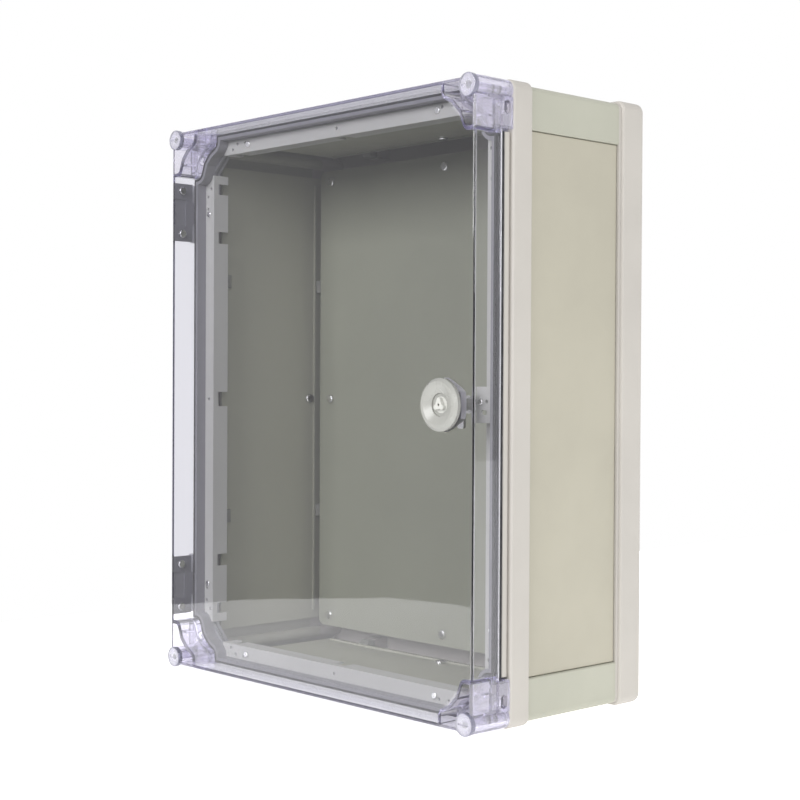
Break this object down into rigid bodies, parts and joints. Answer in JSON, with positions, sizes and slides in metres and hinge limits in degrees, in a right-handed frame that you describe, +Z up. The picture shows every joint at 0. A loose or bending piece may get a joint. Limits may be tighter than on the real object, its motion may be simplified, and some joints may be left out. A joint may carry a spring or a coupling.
{
  "type": "electrical distribution box",
  "caption": "Wall-mounted plastic enclosure with a clear side-hinged cover, corner screws and a turn lock, blank flange plates in its sides, a mounting plate and punched rails inside.",
  "frame": {"origin": "centre of the back face, in the middle of the wall-fixing holes", "axes": "+Z up, +X to the right as seen from the front, +Y out of the back into the wall; the cover faces -Y"},
  "size_m": [0.4095, 0.2065, 0.5],
  "materials": {
    "body_plastic": "light grey, finely textured moulded plastic",
    "post_plastic": "light grey, finely textured moulded plastic",
    "panel_plastic": "light grey, finely textured moulded plastic",
    "clear_plastic": "clear, smooth, with a faint violet tint at the edges",
    "seal_rubber": "matt black foam rubber",
    "clip_plastic": "grey moulded plastic",
    "zinc_steel": "zinc-plated sheet steel",
    "rail_steel": "light grey powder coat",
    "screw_steel": "zinc-plated steel",
    "lock_plastic": "off-white, half-gloss plastic",
    "hinge_plastic": "dark grey moulded plastic"
  },
  "bodies": {
    "enclosure": {"front_frame": "body_plastic", "rear_tray": "body_plastic", "mounting_plate": "zinc_steel", "cover_gasket": "seal_rubber", "collar_seal": "seal_rubber", "flange_clips": "clip_plastic", "flange_screws": "screw_steel", "frame_screws": "screw_steel", "plate_screws": "screw_steel", "rail_screws": "screw_steel", "strike_bracket": "rail_steel", "strike_screw": "screw_steel", "base_hinge_leaf_upper": "hinge_plastic", "base_hinge_leaf_lower": "hinge_plastic", "base_leaf_screws": "screw_steel", "hinge_pin_upper": "screw_steel", "hinge_pin_lower": "screw_steel", "corner_post_bottom_left": "post_plastic", "corner_post_bottom_right": "post_plastic", "corner_post_top_left": "post_plastic", "corner_post_top_right": "post_plastic", "flange_plate_top": "panel_plastic", "flange_plate_right": "panel_plastic", "flange_plate_bottom": "panel_plastic", "flange_plate_left": "panel_plastic", "flange_gasket_top": "seal_rubber", "flange_gasket_right": "seal_rubber", "flange_gasket_bottom": "seal_rubber", "flange_gasket_left": "seal_rubber", "rail_top": "rail_steel", "rail_right": "rail_steel", "rail_bottom": "rail_steel", "rail_left": "rail_steel"},
    "cover": {"cover": "clear_plastic", "cover_hinge_leaf_upper": "hinge_plastic", "cover_hinge_leaf_lower": "hinge_plastic", "cover_leaf_screws": "screw_steel", "lock_housing": "lock_plastic", "lock_gasket": "seal_rubber", "lock_nut": "lock_plastic"},
    "lock_core": {"lock_core": "lock_plastic", "lock_cam": "zinc_steel", "cam_screw": "screw_steel"},
    "corner_screw_bottom_left": {"corner_screw_bottom_left": "clear_plastic", "corner_seals_bottom_left": "seal_rubber"},
    "corner_screw_bottom_right": {"corner_screw_bottom_right": "clear_plastic", "corner_seals_bottom_right": "seal_rubber"},
    "corner_screw_top_left": {"corner_screw_top_left": "clear_plastic", "corner_seals_top_left": "seal_rubber"},
    "corner_screw_top_right": {"corner_screw_top_right": "clear_plastic", "corner_seals_top_right": "seal_rubber"}
  },
  "joints": [
    {"name": "cover_hinge", "type": "hinge", "parent": "enclosure", "child": "cover", "pos_m": [-0.2055, -0.1685, 0], "axis": [0, 0, -1], "range_deg": [0, 170]},
    {"name": "lock_turn", "type": "hinge", "parent": "cover", "child": "lock_core", "pos_m": [0.165, -0.2, 0], "axis": [0, -1, 0], "range_deg": [0, 90]},
    {"name": "corner_turn_bottom_left", "type": "hinge", "parent": "cover", "child": "corner_screw_bottom_left", "pos_m": [-0.1908, -0.2, -0.2408], "axis": [0, -1, 0], "range_deg": [0, 90]},
    {"name": "corner_turn_bottom_right", "type": "hinge", "parent": "cover", "child": "corner_screw_bottom_right", "pos_m": [0.1908, -0.2, -0.2408], "axis": [0, -1, 0], "range_deg": [0, 90]},
    {"name": "corner_turn_top_left", "type": "hinge", "parent": "cover", "child": "corner_screw_top_left", "pos_m": [-0.1908, -0.2, 0.2408], "axis": [0, -1, 0], "range_deg": [0, 90]},
    {"name": "corner_turn_top_right", "type": "hinge", "parent": "cover", "child": "corner_screw_top_right", "pos_m": [0.1908, -0.2, 0.2408], "axis": [0, -1, 0], "range_deg": [0, 90]}
  ]
}
